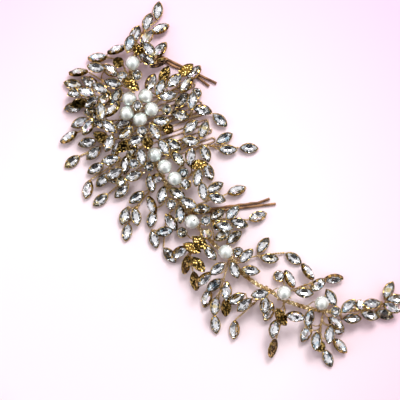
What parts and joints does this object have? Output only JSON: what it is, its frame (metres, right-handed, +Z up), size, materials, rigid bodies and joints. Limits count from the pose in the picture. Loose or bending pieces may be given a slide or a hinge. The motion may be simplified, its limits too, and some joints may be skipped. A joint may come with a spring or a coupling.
{
  "type": "hair vine",
  "caption": "Long bridal hair vine of claw-set marquise crystals and pearls on twisted gold wire, with a wire comb and two bobby pins to hold it.",
  "frame": {"origin": "middle of the comb's spine, at the surface that the vine lies on", "axes": "+X along the vine towards its curled end, +Y across it towards the side away from the hanging sprays, +Z up, away from the hair"},
  "size_m": [0.2233, 0.1084, 0.021],
  "materials": {
    "stem_wire": "polished",
    "settings": "polished",
    "crystal": "polished",
    "pearl": "gloss",
    "comb_wire": "polished",
    "pin_wire": "satin"
  },
  "bodies": {
    "root": {"main_stem": "stem_wire", "wire_comb": "comb_wire", "upper_bobby_pin": "pin_wire", "lower_bobby_pin": "pin_wire", "flower_setting": "settings", "flower_crystal": "crystal", "settings_01": "settings", "settings_02": "settings", "settings_03": "settings", "settings_04": "settings", "settings_05": "settings", "settings_06": "settings", "settings_07": "settings", "settings_08": "settings", "settings_09": "settings", "settings_10": "settings", "settings_11": "settings", "settings_12": "settings", "settings_13": "settings", "settings_14": "settings", "settings_15": "settings", "settings_16": "settings", "settings_17": "settings", "settings_18": "settings", "settings_19": "settings", "settings_20": "settings", "settings_21": "settings", "settings_22": "settings", "settings_23": "settings", "settings_24": "settings", "settings_25": "settings", "settings_26": "settings", "settings_27": "settings", "settings_28": "settings", "crystals_01": "crystal", "crystals_02": "crystal", "crystals_03": "crystal", "crystals_04": "crystal", "crystals_05": "crystal", "crystals_06": "crystal", "crystals_07": "crystal", "crystals_08": "crystal", "crystals_09": "crystal", "crystals_10": "crystal", "pearl_01": "pearl", "pearl_02": "pearl", "pearl_03": "pearl", "pearl_04": "pearl", "pearl_05": "pearl", "pearl_06": "pearl", "pearl_07": "pearl", "pearl_08": "pearl", "pearl_09": "pearl", "pearl_10": "pearl", "pearl_11": "pearl", "pearl_12": "pearl", "pearl_13": "pearl"}
  },
  "joints": []
}
